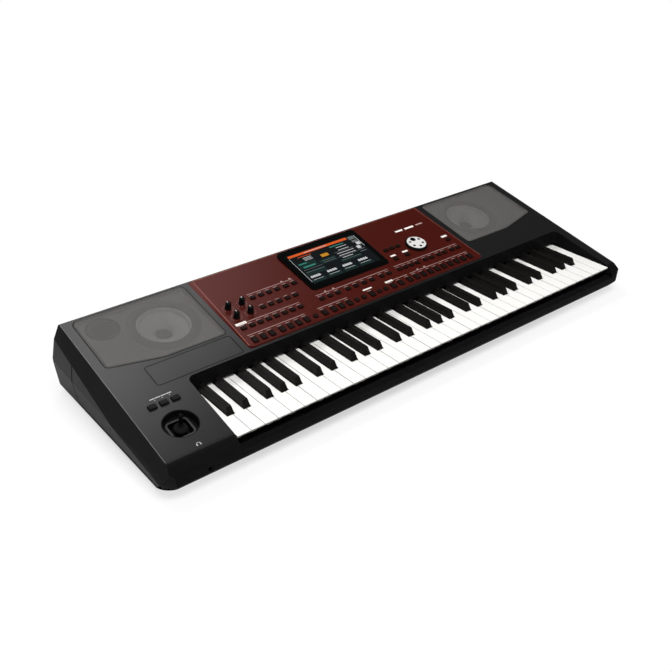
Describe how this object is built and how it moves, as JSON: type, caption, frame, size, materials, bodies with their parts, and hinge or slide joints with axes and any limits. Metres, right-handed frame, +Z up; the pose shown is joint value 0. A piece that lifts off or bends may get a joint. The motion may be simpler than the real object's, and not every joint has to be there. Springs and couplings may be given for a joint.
{
  "type": "arranger keyboard",
  "caption": "Arranger keyboard with piano-style keys, a sloped dark case, red control panel with touch screen, two grilled speakers and a joystick.",
  "frame": {"origin": "on the floor under the middle of the case", "axes": "+X to the player's right along the keys, +Y away from the player, +Z up"},
  "size_m": [1.012, 0.364, 0.1315],
  "materials": {
    "case_plastic": "satin",
    "panel_paint": "satin",
    "bezel_plastic": "gloss",
    "screen_glass": "gloss",
    "grille_steel": "matte",
    "sheet_steel": "satin",
    "cone_paper": "matte",
    "black_plastic": "satin",
    "white_key_plastic": "gloss",
    "black_key_plastic": "satin",
    "felt": "matte",
    "dome_rubber": "matte",
    "foot_rubber": "matte",
    "circuit_board": "satin",
    "button_plastic": "satin",
    "switch_plastic": "satin",
    "knob_plastic": "matte",
    "dial_plastic": "satin"
  },
  "bodies": {
    "case": {"upper_case": "case_plastic", "lower_case": "case_plastic", "rear_panel": "case_plastic", "hatch_cover": "case_plastic", "rubber_feet": "foot_rubber", "control_panel": "panel_paint", "screen_bezel": "bezel_plastic", "touch_screen": "screen_glass", "lcd_module": "sheet_steel", "panel_board": "circuit_board", "left_speaker_grille": "grille_steel", "right_speaker_grille": "grille_steel", "woofers": "sheet_steel", "woofer_cones": "cone_paper", "key_frame": "sheet_steel", "key_stop_felts": "felt", "key_contact_board": "circuit_board", "contact_domes": "dome_rubber", "main_board": "circuit_board", "amplifier_board": "circuit_board", "power_supply": "sheet_steel", "jack_board": "circuit_board", "rear_sockets": "black_plastic", "power_inlet": "black_plastic", "headphone_jack": "black_plastic", "joystick_well": "black_plastic", "joystick_frame": "black_plastic"},
    "c_keys": {"c_keys": "white_key_plastic"},
    "d_keys": {"d_keys": "white_key_plastic"},
    "e_keys": {"e_keys": "white_key_plastic"},
    "f_keys": {"f_keys": "white_key_plastic"},
    "g_keys": {"g_keys": "white_key_plastic"},
    "a_keys": {"a_keys": "white_key_plastic"},
    "b_keys": {"b_keys": "white_key_plastic"},
    "c_sharp_keys": {"c_sharp_keys": "black_key_plastic"},
    "d_sharp_keys": {"d_sharp_keys": "black_key_plastic"},
    "f_sharp_keys": {"f_sharp_keys": "black_key_plastic"},
    "g_sharp_keys": {"g_sharp_keys": "black_key_plastic"},
    "a_sharp_keys": {"a_sharp_keys": "black_key_plastic"},
    "upper_left_buttons": {"upper_left_buttons": "button_plastic"},
    "middle_left_buttons": {"middle_left_buttons": "button_plastic"},
    "middle_centre_buttons": {"middle_centre_buttons": "button_plastic"},
    "middle_right_buttons": {"middle_right_buttons": "button_plastic"},
    "lower_left_buttons": {"lower_left_buttons": "button_plastic"},
    "lower_centre_buttons": {"lower_centre_buttons": "button_plastic"},
    "lower_right_buttons": {"lower_right_buttons": "button_plastic"},
    "small_buttons": {"small_buttons": "button_plastic"},
    "knob_1": {"knob_1": "knob_plastic"},
    "knob_2": {"knob_2": "knob_plastic"},
    "knob_3": {"knob_3": "knob_plastic"},
    "knob_4": {"knob_4": "knob_plastic"},
    "assign_switch_1": {"assign_switch_1": "switch_plastic"},
    "assign_switch_2": {"assign_switch_2": "switch_plastic"},
    "assign_switch_3": {"assign_switch_3": "switch_plastic"},
    "value_dial": {"value_dial": "dial_plastic"},
    "joystick_yoke": {"joystick_yoke": "black_plastic"},
    "joystick_stick": {"joystick_stick": "black_plastic"},
    "power_button": {"power_button": "button_plastic"}
  },
  "joints": [
    {"name": "c_press", "type": "hinge", "parent": "case", "child": "c_keys", "pos_m": [0, 0.024, 0.044], "axis": [1, 0, 0], "range_deg": [0, 3], "stiffness_Nm_per_rad": 2, "springref_deg": -20.05},
    {"name": "d_press", "type": "hinge", "parent": "case", "child": "d_keys", "pos_m": [0, 0.024, 0.044], "axis": [1, 0, 0], "range_deg": [0, 3], "stiffness_Nm_per_rad": 2, "springref_deg": -20.05},
    {"name": "e_press", "type": "hinge", "parent": "case", "child": "e_keys", "pos_m": [0, 0.024, 0.044], "axis": [1, 0, 0], "range_deg": [0, 3], "stiffness_Nm_per_rad": 2, "springref_deg": -20.05},
    {"name": "f_press", "type": "hinge", "parent": "case", "child": "f_keys", "pos_m": [0, 0.024, 0.044], "axis": [1, 0, 0], "range_deg": [0, 3], "stiffness_Nm_per_rad": 2, "springref_deg": -20.05},
    {"name": "g_press", "type": "hinge", "parent": "case", "child": "g_keys", "pos_m": [0, 0.024, 0.044], "axis": [1, 0, 0], "range_deg": [0, 3], "stiffness_Nm_per_rad": 2, "springref_deg": -20.05},
    {"name": "a_press", "type": "hinge", "parent": "case", "child": "a_keys", "pos_m": [0, 0.024, 0.044], "axis": [1, 0, 0], "range_deg": [0, 3], "stiffness_Nm_per_rad": 2, "springref_deg": -20.05},
    {"name": "b_press", "type": "hinge", "parent": "case", "child": "b_keys", "pos_m": [0, 0.024, 0.044], "axis": [1, 0, 0], "range_deg": [0, 3], "stiffness_Nm_per_rad": 2, "springref_deg": -20.05},
    {"name": "c_sharp_press", "type": "hinge", "parent": "case", "child": "c_sharp_keys", "pos_m": [0, 0.024, 0.044], "axis": [1, 0, 0], "range_deg": [0, 3], "stiffness_Nm_per_rad": 2, "springref_deg": -20.05},
    {"name": "d_sharp_press", "type": "hinge", "parent": "case", "child": "d_sharp_keys", "pos_m": [0, 0.024, 0.044], "axis": [1, 0, 0], "range_deg": [0, 3], "stiffness_Nm_per_rad": 2, "springref_deg": -20.05},
    {"name": "f_sharp_press", "type": "hinge", "parent": "case", "child": "f_sharp_keys", "pos_m": [0, 0.024, 0.044], "axis": [1, 0, 0], "range_deg": [0, 3], "stiffness_Nm_per_rad": 2, "springref_deg": -20.05},
    {"name": "g_sharp_press", "type": "hinge", "parent": "case", "child": "g_sharp_keys", "pos_m": [0, 0.024, 0.044], "axis": [1, 0, 0], "range_deg": [0, 3], "stiffness_Nm_per_rad": 2, "springref_deg": -20.05},
    {"name": "a_sharp_press", "type": "hinge", "parent": "case", "child": "a_sharp_keys", "pos_m": [0, 0.024, 0.044], "axis": [1, 0, 0], "range_deg": [0, 3], "stiffness_Nm_per_rad": 2, "springref_deg": -20.05},
    {"name": "upper_left_buttons_press", "type": "slide", "parent": "case", "child": "upper_left_buttons", "axis": [0, 0.2112, -0.9774], "range_m": [0, 0.0005], "stiffness_N_per_m": 1500, "springref_m": -0.001},
    {"name": "middle_left_buttons_press", "type": "slide", "parent": "case", "child": "middle_left_buttons", "axis": [0, 0.2112, -0.9774], "range_m": [0, 0.0005], "stiffness_N_per_m": 1500, "springref_m": -0.001},
    {"name": "middle_centre_buttons_press", "type": "slide", "parent": "case", "child": "middle_centre_buttons", "axis": [0, 0.2112, -0.9774], "range_m": [0, 0.0005], "stiffness_N_per_m": 1500, "springref_m": -0.001},
    {"name": "middle_right_buttons_press", "type": "slide", "parent": "case", "child": "middle_right_buttons", "axis": [0, 0.2112, -0.9774], "range_m": [0, 0.0005], "stiffness_N_per_m": 1500, "springref_m": -0.001},
    {"name": "lower_left_buttons_press", "type": "slide", "parent": "case", "child": "lower_left_buttons", "axis": [0, 0.2112, -0.9774], "range_m": [0, 0.0005], "stiffness_N_per_m": 1500, "springref_m": -0.001},
    {"name": "lower_centre_buttons_press", "type": "slide", "parent": "case", "child": "lower_centre_buttons", "axis": [0, 0.2112, -0.9774], "range_m": [0, 0.0005], "stiffness_N_per_m": 1500, "springref_m": -0.001},
    {"name": "lower_right_buttons_press", "type": "slide", "parent": "case", "child": "lower_right_buttons", "axis": [0, 0.2112, -0.9774], "range_m": [0, 0.0005], "stiffness_N_per_m": 1500, "springref_m": -0.001},
    {"name": "small_buttons_press", "type": "slide", "parent": "case", "child": "small_buttons", "axis": [0, 0.2112, -0.9774], "range_m": [0, 0.0005], "stiffness_N_per_m": 1500, "springref_m": -0.001},
    {"name": "assign_switch_1_press", "type": "slide", "parent": "case", "child": "assign_switch_1", "axis": [0, 0.2112, -0.9774], "range_m": [0, 0.001], "stiffness_N_per_m": 1000, "springref_m": -0.001},
    {"name": "assign_switch_2_press", "type": "slide", "parent": "case", "child": "assign_switch_2", "axis": [0, 0.2112, -0.9774], "range_m": [0, 0.001], "stiffness_N_per_m": 1000, "springref_m": -0.001},
    {"name": "assign_switch_3_press", "type": "slide", "parent": "case", "child": "assign_switch_3", "axis": [0, 0.2112, -0.9774], "range_m": [0, 0.001], "stiffness_N_per_m": 1000, "springref_m": -0.001},
    {"name": "knob_1_turn", "type": "hinge", "parent": "case", "child": "knob_1", "pos_m": [-0.241, 0.06541, 0.11124], "axis": [0, -0.2112, 0.9774], "range_deg": [-150, 150]},
    {"name": "knob_2_turn", "type": "hinge", "parent": "case", "child": "knob_2", "pos_m": [-0.214, 0.06541, 0.11124], "axis": [0, -0.2112, 0.9774], "range_deg": [-150, 150]},
    {"name": "knob_3_turn", "type": "hinge", "parent": "case", "child": "knob_3", "pos_m": [-0.241, 0.04, 0.10575], "axis": [0, -0.2112, 0.9774], "range_deg": [-150, 150]},
    {"name": "knob_4_turn", "type": "hinge", "parent": "case", "child": "knob_4", "pos_m": [-0.214, 0.04, 0.10575], "axis": [0, -0.2112, 0.9774], "range_deg": [-150, 150]},
    {"name": "dial_turn", "type": "hinge", "parent": "case", "child": "value_dial", "pos_m": [0.1715, 0.05642, 0.1093], "axis": [0, -0.2112, 0.9774], "continuous": true},
    {"name": "joystick_forward", "type": "hinge", "parent": "case", "child": "joystick_yoke", "pos_m": [-0.43465, -0.10707, 0.04634], "axis": [1, 0, 0], "range_deg": [-18, 18], "stiffness_Nm_per_rad": 0.08},
    {"name": "joystick_sideways", "type": "hinge", "parent": "joystick_yoke", "child": "joystick_stick", "pos_m": [-0.43465, -0.10707, 0.04634], "axis": [0, 0.9774, 0.2112], "range_deg": [-18, 18], "stiffness_Nm_per_rad": 0.08},
    {"name": "power_press", "type": "slide", "parent": "case", "child": "power_button", "axis": [0, -0.9857, -0.1685], "range_m": [0, 0.002], "stiffness_N_per_m": 800, "springref_m": -0.001}
  ]
}
